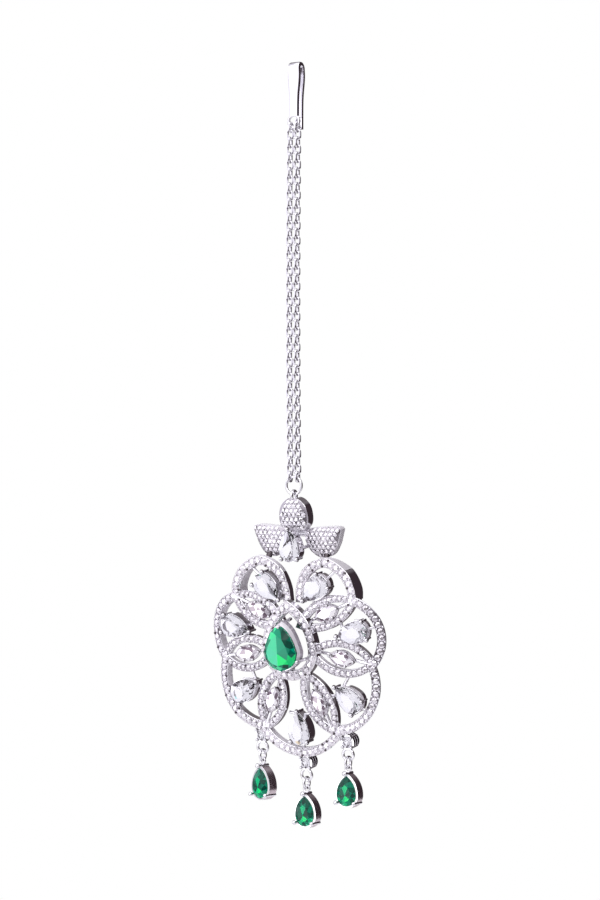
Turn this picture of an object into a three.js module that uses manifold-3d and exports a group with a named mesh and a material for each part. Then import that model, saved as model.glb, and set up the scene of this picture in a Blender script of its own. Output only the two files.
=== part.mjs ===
// A hanging forehead ornament: a hairpin hook, two fine chain strands, and a pierced seven-lobed medallion
// with a crown, a raised pear stone and three small drops. Millimetres, +Z up, the face looks along -Y.
import * as THREE from "three";
import { mergeVertices } from "three/addons/utils/BufferGeometryUtils.js";
import Module from "manifold-3d";

const wasm = await Module();
wasm.setup();
const { Manifold, Mesh: SolidMesh } = wasm;
const DEG = Math.PI / 180;
const V = (x, y, z) => new THREE.Vector3(x, y, z);

// Solids from closed surfaces, joins and placing

function solid(geometry) {
  const bare = new THREE.BufferGeometry();
  bare.setAttribute("position", geometry.getAttribute("position"));
  if (geometry.index) bare.setIndex(geometry.index);
  const merged = mergeVertices(bare, 1e-4);
  const vertProperties = new Float32Array(merged.attributes.position.array);
  const triVerts = new Uint32Array(merged.index.array);
  const build = () => new Manifold(new SolidMesh({ numProp: 3, vertProperties, triVerts }));
  const made = build();
  if (made.volume() >= 0) return made;
  for (let i = 0; i < triVerts.length; i += 3) {
    const swap = triVerts[i + 1];
    triVerts[i + 1] = triVerts[i + 2];
    triVerts[i + 2] = swap;
  }
  return build();
}

function meshFrom(name, made) {
  const data = made.getMesh();
  const stride = data.numProp;
  const points = new Float32Array(data.numVert * 3);
  for (let i = 0; i < data.numVert; i++) points.set(data.vertProperties.subarray(i * stride, i * stride + 3), i * 3);
  const geometry = new THREE.BufferGeometry();
  geometry.setAttribute("position", new THREE.BufferAttribute(points, 3));
  geometry.setIndex(new THREE.BufferAttribute(new Uint32Array(data.triVerts), 1));
  const mesh = new THREE.Mesh(geometry);
  mesh.name = name;
  return mesh;
}

const FINE = 0.04;
const join = (list) => Manifold.union(list).asOriginal().simplify(FINE);
const moved = (made, matrix) => made.transform(matrix.toArray());

// A surface through rings of points; open ends are closed with flat caps.
function loft(rings, closed = false) {
  const m = rings[0].length;
  const n = rings.length;
  const points = rings.flat().flatMap((p) => [p.x, p.y, p.z]);
  const index = [];
  for (let i = 0; i < (closed ? n : n - 1); i++)
    for (let j = 0; j < m; j++) {
      const a = i * m + j;
      const b = i * m + ((j + 1) % m);
      const c = ((i + 1) % n) * m + ((j + 1) % m);
      const d = ((i + 1) % n) * m + j;
      index.push(a, b, c, a, c, d);
    }
  if (!closed)
    for (let j = 1; j < m - 1; j++) {
      index.push(0, j + 1, j);
      index.push((n - 1) * m, (n - 1) * m + j, (n - 1) * m + j + 1);
    }
  const geometry = new THREE.BufferGeometry();
  geometry.setAttribute("position", new THREE.BufferAttribute(new Float32Array(points), 3));
  geometry.setIndex(index);
  return solid(geometry);
}

// A round wire bent into a closed loop through centre points, each with its own side direction.
function wireLoop(centres, sides, radius, facets) {
  const n = centres.length;
  const rings = centres.map((p, i) => {
    const along = centres[(i + 1) % n].clone().sub(centres[(i + n - 1) % n]).normalize();
    const side = sides(p, i).normalize();
    const up = along.clone().cross(side).normalize();
    return Array.from({ length: facets }, (_, k) => {
      const t = (k * 2 * Math.PI) / facets;
      return p.clone().addScaledVector(side, radius * Math.cos(t)).addScaledVector(up, radius * Math.sin(t));
    });
  });
  return loft(rings, true);
}

// A round ring standing in a plane that holds Z; turn is its angle about Z from the XZ plane.
function ring(centre, radius, wire, turn, steps, facets) {
  const across = V(Math.cos(turn), Math.sin(turn), 0);
  const centres = Array.from({ length: steps }, (_, k) => {
    const t = ((k + 0.5) * 2 * Math.PI) / steps;
    return centre.clone().addScaledVector(across, radius * Math.cos(t)).add(V(0, 0, radius * Math.sin(t)));
  });
  return wireLoop(centres, (p) => p.clone().sub(centre), wire, facets);
}

// A straight round bar between two points.
function bar(from, to, radius, facets = 6) {
  const along = to.clone().sub(from).normalize();
  const side = Math.abs(along.z) > 0.9 ? V(1, 0, 0) : V(0, 0, 1);
  side.addScaledVector(along, -side.dot(along)).normalize();
  const up = along.clone().cross(side);
  const at = (p) =>
    Array.from({ length: facets }, (_, k) => {
      const t = ((k + 0.5) * 2 * Math.PI) / facets;
      return p.clone().addScaledVector(side, radius * Math.cos(t)).addScaledVector(up, radius * Math.sin(t));
    });
  return loft([at(from), at(to)]);
}

function bead(centre, radius) {
  return solid(new THREE.IcosahedronGeometry(radius, 0).translate(centre.x, centre.y, centre.z));
}

// The medallion's own plane: x to its right, z up from its hinge line, h out of its face.
// Its sides curve back away from the viewer.
const FACE = 3.0;
const FLAT_HALF = 16.0;
const BEND = 14.0;
function onFace(x, z, h) {
  const out = Math.abs(x) - FLAT_HALF;
  if (out <= 0) return V(x, -h, z);
  const turn = out / BEND;
  const reach = BEND + h - FACE;
  return V(Math.sign(x) * (FLAT_HALF + reach * Math.sin(turn)), -(FACE + reach * Math.cos(turn) - BEND), z);
}

// Outlines as points [x, z]

function arc3(p, q, r, steps) {
  const d = 2 * (p[0] * (q[1] - r[1]) + q[0] * (r[1] - p[1]) + r[0] * (p[1] - q[1]));
  const sq = (a) => a[0] * a[0] + a[1] * a[1];
  const cx = (sq(p) * (q[1] - r[1]) + sq(q) * (r[1] - p[1]) + sq(r) * (p[1] - q[1])) / d;
  const cz = (sq(p) * (r[0] - q[0]) + sq(q) * (p[0] - r[0]) + sq(r) * (q[0] - p[0])) / d;
  const radius = Math.hypot(p[0] - cx, p[1] - cz);
  const angle = (a) => Math.atan2(a[1] - cz, a[0] - cx);
  const start = angle(p);
  let end = angle(r);
  const clockwise = (q[0] - p[0]) * (r[1] - p[1]) - (q[1] - p[1]) * (r[0] - p[0]) < 0;
  while (clockwise && end > start) end -= 2 * Math.PI;
  while (!clockwise && end < start) end += 2 * Math.PI;
  return Array.from({ length: steps + 1 }, (_, i) => {
    const t = start + ((end - start) * i) / steps;
    return [cx + radius * Math.cos(t), cz + radius * Math.sin(t)];
  });
}

function smooth(points, steps) {
  const curve = new THREE.CatmullRomCurve3(points.map(([x, z]) => V(x, 0, z)), false, "centripetal");
  return curve.getSpacedPoints(steps).map((p) => [p.x, p.z]);
}

// A pear: a half round of the given half width below z = 0 and an arched tip above it.
function pear(half, tip, steps) {
  const side = (half * half + tip * tip) / (2 * half);
  const lean = Math.asin(tip / side);
  const low = Math.round(steps * 0.5);
  const high = Math.round((steps - low) / 2);
  const points = [];
  for (let i = 0; i < low; i++) {
    const t = Math.PI + (i * Math.PI) / low;
    points.push([half * Math.cos(t), half * Math.sin(t)]);
  }
  for (let i = 0; i < high; i++) {
    const t = (i * lean) / high;
    points.push([half - side + side * Math.cos(t), side * Math.sin(t)]);
  }
  for (let i = high; i > 0; i--) {
    const t = (i * lean) / high;
    points.push([-(half - side + side * Math.cos(t)), side * Math.sin(t)]);
  }
  return points;
}

// A pointed oval along its own second axis.
function marquise(half, reach, steps) {
  const side = (half * half + reach * reach) / (2 * half);
  const lean = Math.asin(reach / side);
  const each = steps / 2;
  const points = [];
  for (const sign of [1, -1])
    for (let i = 0; i < each; i++) {
      const t = sign * (-lean + (2 * lean * i) / each);
      points.push([sign * (half - side + side * Math.cos(t)), side * Math.sin(t)]);
    }
  return points;
}

function circle(radius, steps) {
  return Array.from({ length: steps }, (_, i) => {
    const t = ((i + 0.5) * 2 * Math.PI) / steps;
    return [radius * Math.cos(t), radius * Math.sin(t)];
  });
}

// Turned so that the outline's second axis points along the angle, then moved.
function placed(points, x, z, angle) {
  const c = Math.cos((angle - 90) * DEG);
  const s = Math.sin((angle - 90) * DEG);
  return points.map(([a, b]) => [x + a * c - b * s, z + a * s + b * c]);
}

const mirrored = (points) => points.map(([x, z]) => [-x, z]).reverse();

// A flat band along an outline: its front stands at front(x, z) and its walls go down by depth.
function band(points, closed, width, depth, front) {
  const n = points.length;
  const rings = points.map((p, i) => {
    const before = closed ? points[(i + n - 1) % n] : points[Math.max(0, i - 1)];
    const after = closed ? points[(i + 1) % n] : points[Math.min(n - 1, i + 1)];
    const a = [p[0] - before[0], p[1] - before[1]];
    const b = [after[0] - p[0], after[1] - p[1]];
    const la = Math.hypot(...a) || 1;
    const lb = Math.hypot(...b) || 1;
    const t = [a[0] / la + b[0] / lb, a[1] / la + b[1] / lb];
    const lt = Math.hypot(...t);
    const inner = !closed && (i === 0 || i === n - 1);
    const stretch = inner ? 1 : Math.min(1.5, 2 / lt);
    const side = [(-t[1] / lt) * stretch * 0.5 * width, (t[0] / lt) * stretch * 0.5 * width];
    const h = front(p[0], p[1]);
    const deep = typeof depth === "function" ? depth(p[0], p[1]) : depth;
    return [
      onFace(p[0] + side[0], p[1] + side[1], h),
      onFace(p[0] - side[0], p[1] - side[1], h),
      onFace(p[0] - side[0], p[1] - side[1], h - deep),
      onFace(p[0] + side[0], p[1] + side[1], h - deep),
    ];
  });
  return loft(rings, closed);
}

// A filled shape on the face with a smaller, raised front, like a domed leaf.
function pad(points, back, shoulder, front, shrink) {
  const cx = points.reduce((t, p) => t + p[0], 0) / points.length;
  const cz = points.reduce((t, p) => t + p[1], 0) / points.length;
  const at = (k, h) => points.map(([x, z]) => onFace(cx + (x - cx) * k, cz + (z - cz) * k, h));
  return loft([at(1, back), at(1, shoulder), at(shrink, front)]);
}

// A cut stone: table, crown facets, girdle and a pointed back. Its outline is centred on [x, z].
function cutStone(outline, girdle, crown, depth, table, spot, place = onFace) {
  const n = outline.length;
  const rim = 0.1;
  const at = (k, h) => outline.map(([x, z]) => place(spot[0] + (x - spot[0]) * k, spot[1] + (z - spot[1]) * k, h));
  const points = [...at(table, girdle + crown), ...at(1, girdle + rim), ...at(1, girdle - rim)];
  points.push(place(spot[0], spot[1], girdle - depth));
  const index = [];
  for (let j = 1; j < n - 1; j++) index.push(0, j, j + 1);
  for (let i = 0; i < 2; i++)
    for (let j = 0; j < n; j++) {
      const a = i * n + j;
      const b = i * n + ((j + 1) % n);
      index.push(a, a + n, b, b, a + n, b + n);
    }
  for (let j = 0; j < n; j++) index.push(2 * n + j, 3 * n, 2 * n + ((j + 1) % n));
  const geometry = new THREE.BufferGeometry();
  const flat = points.flatMap((p) => [p.x, p.y, p.z]);
  geometry.setAttribute("position", new THREE.BufferAttribute(new Float32Array(flat), 3));
  geometry.setIndex(index);
  return solid(geometry);
}

const frameParts = [];
const stones = [];

// Medallion layout, measured from its middle, which hangs this far under the hinge line
const MIDDLE = -35.5;
const up = (points) => points.map(([x, z]) => [x, z + MIDDLE]);
const RIM_WIDTH = 2.1;
const SIDE_DEPTH = 1.8;
const TOP_DEPTH = { inner: 1.5, shoulder: 3.6 };
const rimFront = () => FACE;
// The two top lobes get deep walls towards their shoulders
const topDepth = (x) => {
  const share = Math.min(1, Math.max(0, (Math.abs(x) - 4) / 8));
  return TOP_DEPTH.inner + (TOP_DEPTH.shoulder - TOP_DEPTH.inner) * share;
};
const notch = { upper: [14.9, 12.3], lower: [19.0, -2.3], foot: [10.0, -17.5] };
const apex = { side: [21.3, 6.2], hip: [18.4, -11.9], foot: [0, -23.1] };

const topLobe = smooth(
  [[1.6, 11.4], [2.0, 15.0], [4.0, 18.7], [8.6, 20.6], [12.9, 18.3], [14.9, 14.6], notch.upper],
  14,
);
const sideLobe = arc3(notch.upper, apex.side, notch.lower, 8);
const hipLobe = arc3(notch.lower, apex.hip, notch.foot, 9);
const footLobe = arc3(notch.foot, apex.foot, [-notch.foot[0], notch.foot[1]], 10);
frameParts.push(band(up(topLobe), false, RIM_WIDTH, topDepth, rimFront));
frameParts.push(band(up(mirrored(topLobe)), false, RIM_WIDTH, topDepth, rimFront));
for (const lobe of [sideLobe, hipLobe]) {
  frameParts.push(band(up(lobe), false, RIM_WIDTH, SIDE_DEPTH, rimFront));
  frameParts.push(band(up(mirrored(lobe)), false, RIM_WIDTH, SIDE_DEPTH, rimFront));
}
frameParts.push(band(up(footLobe), false, RIM_WIDTH, SIDE_DEPTH, rimFront));
// Where two lobes meet, solder fills the joint
for (const [x, z] of Object.values(notch))
  for (const side of [-1, 1]) {
    const back = FACE + 0.1 - (z > 0 ? TOP_DEPTH.shoulder : SIDE_DEPTH);
    frameParts.push(bar(onFace(side * x, z + MIDDLE, back), onFace(side * x, z + MIDDLE, FACE - 0.1), 0.9));
  }

// Petals between the halo and the notches, rising towards the middle
const HALO_TOP = 6.0;
const riseFrom = (inner, outer) => (x, z) => {
  const r = Math.hypot(x, z - MIDDLE);
  const share = Math.min(1, Math.max(0, (outer - r) / (outer - inner)));
  return FACE + 2.0 * share;
};
const petals = [
  { name: "upper", x: 8.8, z: 9.4, angle: 24, half: 2.7, reach: 7.0, lean: 0 },
  { name: "middle", x: 12.2, z: -0.7, angle: -10, half: 3.4, reach: 7.0, lean: 0 },
  { name: "lower", x: 6.1, z: -11.2, angle: -68, half: 2.9, reach: 7.0, lean: 0.4 },
];
const PETAL = { width: 1.8, depth: 1.4, stoneHalf: 1.6, stoneReach: 2.9 };
for (const petal of petals)
  for (const side of [1, -1]) {
    const angle = side > 0 ? petal.angle : 180 - petal.angle;
    const x = side * petal.x - petal.lean;
    const z = petal.z + MIDDLE;
    const outline = placed(marquise(petal.half, petal.reach, 12), x, z, angle);
    frameParts.push(band(outline, true, PETAL.width, PETAL.depth, riseFrom(6, 19)));
    const seat = placed(marquise(PETAL.stoneHalf, PETAL.stoneReach, 8), x, z, angle);
    const rise = riseFrom(6, 19)(x, z);
    const c = Math.cos(angle * DEG);
    const s = Math.sin(angle * DEG);
    const stretch = (r) => onFace(x + r * c, z + r * s, rise - 1.2);
    frameParts.push(bar(stretch(-petal.reach), stretch(petal.reach), 0.4));
    const word = side > 0 ? "right" : "left";
    stones.push(["petal_stone_" + petal.name + "_" + word, cutStone(seat, rise + 0.25, 0.6, 1.0, 0.6, [x, z])]);
  }

// Halo round the middle stone
const halo = placed(pear(5.85, 10.0, 20), 0, 1.0 + MIDDLE, 90);
frameParts.push(band(halo, true, 2.2, 2.0, () => HALO_TOP));

// A pear stone in a wall of metal with small claws; sill is how far the wall stands under the girdle
function setPear(name, spot, angle, half, tip, girdle, sill, steps = 12, flare = 0) {
  const put = (points) => placed(points, spot[0], spot[1], angle);
  stones.push([name, cutStone(put(pear(half, tip, steps)), girdle, 0.32 * half, 0.72 * half, 0.55, spot)]);
  const wall = 0.32;
  const inset = 0.02;
  const under = 0.34;
  // Each corner of the wall's section runs once round the stone; flare lengthens the tip at the back
  const corner = (grow, long, h) =>
    put(pear(half - inset + grow, tip - inset + grow + long, steps)).map(([x, z]) => onFace(x, z, h));
  const section = [
    corner(wall / 2, 0, girdle - under), corner(-wall / 2, 0, girdle - under),
    corner(-wall / 2 + flare / 5, flare, girdle - sill), corner(wall / 2 + flare / 5, flare, girdle - sill),
  ];
  frameParts.push(loft(section[0].map((_, i) => section.map((run) => run[i])), true));
}
function claw(x, z, from, to, radius) {
  frameParts.push(bar(onFace(x, z, from), onFace(x, z, to), radius));
}

const lobeStones = [
  { name: "top_right", x: 7.0, z: 15.5, angle: 222 },
  { name: "side_right", x: 16.3, z: 5.5, angle: 193 },
  { name: "hip_right", x: 14.0, z: -10.6, angle: 140 },
  { name: "foot", x: 0.1, z: -18.6, angle: 91 },
  { name: "hip_left", x: -14.6, z: -9.8, angle: 32 },
  { name: "side_left", x: -16.3, z: 5.5, angle: -13 },
  { name: "top_left", x: -7.0, z: 15.5, angle: -42 },
];
// Struts from each setting, as [along the stone, across it]: one to the rim and two to the petals
const STRUT = {
  near: 2.2, far: 2.0, wire: 0.34,
  runs: [[[-2.4, 0], [-4.9, 0]], [[4.1, 0.5], [4.5, 3.2]], [[4.1, -0.5], [4.5, -3.2]]],
};
const LOBE_STONE = { half: 2.55, tip: 4.8, girdle: 4.3, sill: 3.0 };
for (const lobe of lobeStones) {
  const z = lobe.z + MIDDLE;
  const c = Math.cos(lobe.angle * DEG);
  const s = Math.sin(lobe.angle * DEG);
  const { half, tip, girdle, sill } = LOBE_STONE;
  setPear("lobe_stone_" + lobe.name, [lobe.x, z], lobe.angle, half, tip, girdle, sill);
  const reach = (along, across) => [lobe.x + along * c - across * s, z + along * s + across * c];
  for (const [from, to] of STRUT.runs) {
    const a = reach(...from);
    const b = reach(...to);
    frameParts.push(bar(onFace(a[0], a[1], STRUT.near), onFace(b[0], b[1], STRUT.far), STRUT.wire));
  }
}

// The raised middle stone in its own wall on tall claws
const MID = [0, 1.3 + MIDDLE];
setPear("middle_stone", MID, 90, 4.1, 5.6, 10.2, 2.9, 16, 1.2);
for (const [x, z] of [[0, 7.1], [-4.3, -0.6], [4.3, -0.6], [0, -3.05]]) {
  frameParts.push(bar(onFace(x, 1.12 * z + MIDDLE, 4.6), onFace(x, z + MIDDLE, 8.6), 0.5));
}

// Crown: a bud between two leaves, with a pear stone before it
const bud = smooth([[2.5, -8.0], [3.5, -6.7], [3.7, -4.8], [3.15, -2.6], [1.6, -1.1], [0, -0.7]], 7);
const budLine = [...bud, ...mirrored(bud).slice(1)];
frameParts.push(pad(budLine, -1.7, 0.8, 1.7, 0.62));
const leafPoints = [
  [2.1, -8.0], [6.1, -7.5], [10.9, -7.7], [11.1, -9.4], [10.3, -11.8], [8.6, -13.8], [5.9, -14.4], [3.3, -12.9],
  [2.0, -10.6],
];
const leaf = smooth(leafPoints, 13);
frameParts.push(pad(leaf, -2.4, -0.5, 0.1, 0.72));
frameParts.push(pad(mirrored(leaf), -2.4, -0.5, 0.1, 0.72));
frameParts.push(bar(onFace(-2.6, -8.9, -1.2), onFace(2.6, -8.9, -1.2), 0.9));
setPear("crown_stone", [0, -12.4], 90, 2.45, 4.7, 3.8, 2.6);
for (const side of [-1, 1]) {
  frameParts.push(bar(onFace(side * 2.2, -11.9, -1.6), onFace(side * 2.4, -11.9, 2.0), 0.4));
  frameParts.push(bar(onFace(side * 2.2, -11.9, -1.4), onFace(side * 3.6, -11.9, -1.4), 0.4));
}
for (const side of [-1, 1]) frameParts.push(bar(onFace(side * 7.2, -12.6, -1.5), onFace(side * 7.6, -15.4, 1.0), 0.7));

// Bail: a small loop soldered on the bud, round the bottom of the jump ring
frameParts.push(ring(V(0, 0, -0.3), 1.05, 0.36, Math.PI / 2, 10, 6));

// Round stones at the foot, each with a soldered loop under it
const feet = [
  { name: "left", x: -11.1, z: -20.1 },
  { name: "middle", x: 0.1, z: -25.8 },
  { name: "right", x: 11.2, z: -20.3 },
];
const LOOP = { radius: 1.3, wire: 0.32 };
const FOOT_GIRDLE = 2.0;
const CUP = { stone: 1.28, radius: 1.56, wall: 0.45, depth: 2.6, from: 1.2, to: 3.2, stem: 0.7 };
for (const foot of feet) {
  const z = foot.z + MIDDLE;
  const at = [foot.x, z];
  stones.push(["foot_stone_" + foot.name, cutStone(placed(circle(CUP.stone, 8), ...at, 90), FOOT_GIRDLE, 0.4, 0.9, 0.6, at)]);
  const cup = placed(circle(CUP.radius, 8), ...at, 90);
  frameParts.push(band(cup, true, CUP.wall, CUP.depth, () => FOOT_GIRDLE - 0.1));
  frameParts.push(bar(onFace(foot.x, z + CUP.from, 0.8), onFace(foot.x, z + CUP.to, 1.6), CUP.stem));
  foot.loop = V(foot.x, -1.6, z - CUP.radius - LOOP.radius);
  frameParts.push(ring(foot.loop, LOOP.radius, LOOP.wire, 0, 10, 6));
}

// Hanging pose: the medallion turns about a level line through the bottom of the jump ring
const HINGE = -96.2;
const HANG = -1.05;
const pendant = new THREE.Group();
pendant.position.set(0, HANG, HINGE);
pendant.rotation.set(8 * DEG, 0.9 * DEG, 0);
pendant.updateMatrix();
pendant.add(meshFrom("medallion_frame", join(frameParts)));
for (const [name, made] of stones) pendant.add(meshFrom(name, made));

// Drops hang straight down from the loops under the foot stones
const drops = new THREE.Group();
const DROP_RING = { radius: 1.25, wire: 0.3 };
const EYE = { radius: 0.75, wire: 0.22 };
const CLEAR = 0.1;
const turnOf = { left: -14, middle: -3, right: -1 };
for (const foot of feet) {
  const loop = foot.loop.clone().applyMatrix4(pendant.matrix);
  const ringTop = loop.z - LOOP.radius + LOOP.wire + DROP_RING.wire + CLEAR + 0.06;
  const ringAt = V(loop.x, loop.y, ringTop - DROP_RING.radius);
  drops.add(meshFrom("drop_ring_" + foot.name, ring(ringAt, DROP_RING.radius, DROP_RING.wire, Math.PI / 2, 12, 6)));
  const eyeTop = ringAt.z - DROP_RING.radius + DROP_RING.wire + EYE.wire + CLEAR + 0.04;
  const at = V(loop.x, loop.y, eyeTop - EYE.radius);
  const spin = new THREE.Matrix4().makeRotationZ(turnOf[foot.name] * DEG).setPosition(at);
  // In the drop's own frame: x across, z up from the eye, h out of its face
  const own = (x, z, h) => V(x, -h, z);
  const BODY = -6.0;
  const girdle = 0.9;
  const outline = (grow) => pear(2.45 + grow, 4.3 + grow * 1.3, 14).map(([x, z]) => [x, z + BODY]);
  const wall = (grow, high) => outline(grow).map(([x, z]) => own(x, z, high));
  const rings = outline(0).map((_, i) => [
    wall(0.5, girdle - 0.1)[i], wall(0.12, girdle - 0.1)[i], wall(0.12, -1.6)[i], wall(0.5, -1.6)[i],
  ]);
  const parts = [loft(rings, true)];
  parts.push(ring(V(0, 0, 0), EYE.radius, EYE.wire, 0, 10, 5));
  parts.push(bar(own(0, -EYE.radius + 0.05, 0), own(0, BODY + 4.75, -0.3), 0.35));
  for (const [x, z] of [[0, BODY + 4.85], [-2.35, BODY - 1.7], [2.35, BODY - 1.7]]) {
    parts.push(bar(own(x, z, -1.6), own(x, z, 1.5), 0.32));
    parts.push(bead(own(x, z, 1.6), 0.48));
  }
  drops.add(meshFrom("drop_setting_" + foot.name, moved(join(parts), spin)));
  const stone = cutStone(outline(0), girdle, 0.8, 2.2, 0.55, [0, BODY], own);
  drops.add(meshFrom("drop_stone_" + foot.name, moved(stone, spin)));
}

// Jump ring between the strands and the medallion
const RING = { radius: 1.95, wire: 0.3 };
const ringCentre = V(0, HANG, HINGE + RING.radius);

// Hook: a hairpin of flat strip whose bend rests on what it hangs from, at the origin
const HOOK = { gap: 1.2, thick: 0.9, front: -11.4, back: -14.2, eye: 1.35, wire: 0.32 };
const hookLine = [];
const reach = (HOOK.gap + HOOK.thick) / 2;
for (const share of [1, 0.66, 0.33]) hookLine.push([-reach, share * HOOK.front - (1 - share) * reach]);
for (let i = 0; i <= 8; i++) {
  const t = Math.PI - (i * Math.PI) / 8;
  hookLine.push([reach * Math.cos(t), reach * Math.sin(t) - HOOK.gap / 2]);
}
for (const share of [0.33, 0.66, 1]) hookLine.push([reach, share * HOOK.back - (1 - share) * reach]);
const hookRings = hookLine.map(([y, z], i) => {
  const a = hookLine[Math.max(0, i - 1)];
  const b = hookLine[Math.min(hookLine.length - 1, i + 1)];
  const l = Math.hypot(b[0] - a[0], b[1] - a[1]);
  const n = [-(b[1] - a[1]) / l, (b[0] - a[0]) / l];
  const half = 1.1 + 0.45 * Math.exp(-(((z + 2.2) / 3.6) ** 2));
  const t = HOOK.thick / 2;
  const trim = 0.22;
  const corner = (x, k) => V(x, y + n[0] * k, z + n[1] * k);
  return [
    corner(half - trim, t), corner(-half + trim, t), corner(-half, t - trim),
    corner(-half, -t), corner(half, -t), corner(half, t - trim),
  ];
});
const EYE_AT = V(0, -reach, HOOK.front - HOOK.eye + 0.2);
const hook = join([loft(hookRings), ring(EYE_AT, HOOK.eye, HOOK.wire, 0, 12, 6)]);

// Chain strands: links turned a quarter each, from the hook's eye to the jump ring
const LINK = { wire: 0.23, half: 0.64 };
const LINKS = 47;
const SLACK = { top: 0.3, foot: 0.26 };
const SPREAD = { top: 0.76, below: 0.95 };
function strand(side) {
  const top = EYE_AT.z - Math.sqrt(HOOK.eye ** 2 - SPREAD.top ** 2) - HOOK.wire;
  const foot = ringCentre.z + Math.sqrt(RING.radius ** 2 - SPREAD.below ** 2) + RING.wire;
  // The end links hold the eye and the jump ring: their inner ends lie this far past them
  const first = top + HOOK.wire * 2 + SLACK.top;
  const last = foot - RING.wire * 2 - SLACK.foot;
  const wire = LINK.wire;
  const press = 0.12;
  const inner = (first - last - (LINKS - 1) * press) / LINKS;
  const pitch = inner + press;
  const links = [];
  for (let k = 0; k < LINKS; k++) {
    const z = first - inner / 2 - k * pitch;
    const share = k / (LINKS - 1);
    const bow = -0.25 * Math.sin(Math.PI * share);
    const flat = k % 2 === 1;
    const across = flat ? V(1, 0, 0) : V(0, 1, 0);
    const spread = k === 0 ? SPREAD.top : SPREAD.below;
    const centre = V(side * spread + bow, HANG, z);
    const half = inner / 2 + wire;
    const straight = half - LINK.half;
    const centres = [];
    for (let i = 0; i < 8; i++) {
      const t = i < 4 ? (i * Math.PI) / 3 : Math.PI + ((i - 4) * Math.PI) / 3;
      const lift = i < 4 ? straight : -straight;
      const p = centre.clone().addScaledVector(across, LINK.half * Math.cos(t));
      centres.push(p.add(V(0, 0, LINK.half * Math.sin(t) + lift)));
    }
    const normal = flat ? V(0, 1, 0) : V(1, 0, 0);
    links.push(wireLoop(centres, () => normal.clone(), wire, 5));
  }
  return join(links);
}

const hanger = new THREE.Group();
hanger.add(meshFrom("hook", hook));
hanger.add(meshFrom("chain_strand_left", strand(-1)));
hanger.add(meshFrom("chain_strand_right", strand(1)));
hanger.add(meshFrom("jump_ring", ring(ringCentre, RING.radius, RING.wire, 0, 16, 6)));

const ornament = new THREE.Group();
ornament.name = "forehead_ornament";
ornament.add(hanger, pendant, drops);
export default ornament;
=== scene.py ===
import math
import random

import bmesh
import bpy
from mathutils import Matrix, Vector


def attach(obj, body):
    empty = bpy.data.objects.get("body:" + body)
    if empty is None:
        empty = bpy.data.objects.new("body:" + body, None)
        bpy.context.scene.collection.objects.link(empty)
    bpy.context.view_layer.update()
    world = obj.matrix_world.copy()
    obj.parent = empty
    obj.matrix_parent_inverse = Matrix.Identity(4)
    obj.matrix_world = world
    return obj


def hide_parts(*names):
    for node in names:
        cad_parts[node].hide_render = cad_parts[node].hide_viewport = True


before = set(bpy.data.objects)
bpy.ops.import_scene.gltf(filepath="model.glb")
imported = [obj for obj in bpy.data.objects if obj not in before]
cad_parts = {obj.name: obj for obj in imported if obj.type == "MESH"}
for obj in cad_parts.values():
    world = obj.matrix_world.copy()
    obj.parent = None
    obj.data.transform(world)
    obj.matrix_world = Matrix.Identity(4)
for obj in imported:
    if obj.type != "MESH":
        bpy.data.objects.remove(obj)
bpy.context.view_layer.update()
MM = 0.001
dice = random.Random(7)

# Finishes of metal, then a painted grey shade and a painted dark shade, in the order of the frame's
# materials
POLISHED, SATIN, GREY_SHADE, DARK_SHADE = range(4)

# Directions, and the two ways a ring is turned
FRONT = Vector((0, -1, 0))
UP = Vector((0, 0, 1))
FACING, EDGEWAYS = 0, math.pi / 2

# Shapes as lists of points and faces, in millimetres
BAR_FACETS = 10


def spokes(side, up, count):
    """Directions all round a circle, from side toward up."""
    turns = [k * 2 * math.pi / count for k in range(count)]
    return [math.cos(t) * side + math.sin(t) * up for t in turns]


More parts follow.
